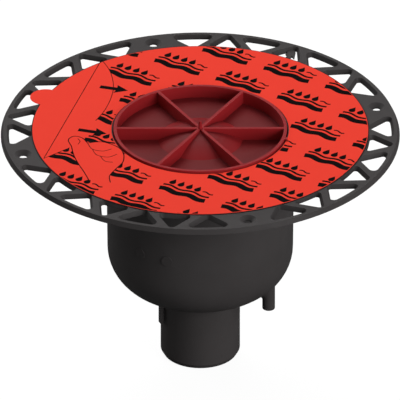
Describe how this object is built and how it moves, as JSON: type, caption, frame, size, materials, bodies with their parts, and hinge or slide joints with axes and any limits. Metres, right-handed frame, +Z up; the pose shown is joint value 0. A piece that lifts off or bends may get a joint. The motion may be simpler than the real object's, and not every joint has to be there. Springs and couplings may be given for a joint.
{
  "type": "floor drain",
  "caption": "Floor drain body with a round lattice flange, an upright outlet spigot, a removable water trap, a peel-off film over its bonding ring and a site cap.",
  "frame": {"origin": "centre of the outlet spigot's lower end", "axes": "+Z up along the drain's axis, +X to the right and -Y towards the viewer in the picture"},
  "size_m": [0.25, 0.25, 0.1661],
  "materials": {
    "body_plastic": "satin moulded",
    "bonding_layer": "matt",
    "film": "smooth film",
    "cap_plastic": "satin moulded",
    "trap_plastic": "satin moulded",
    "seal_rubber": "matt"
  },
  "bodies": {
    "drain": {"drain_body": "body_plastic", "bonding_ring": "bonding_layer", "release_film": "film", "trap_funnel": "trap_plastic", "trap_seal": "seal_rubber", "trap_cup": "trap_plastic"},
    "cap": {"site_cap": "cap_plastic"}
  },
  "joints": [
    {"name": "cap_pull", "type": "slide", "parent": "drain", "child": "cap", "axis": [0, 0, 1], "range_m": [0, 0.03]}
  ]
}
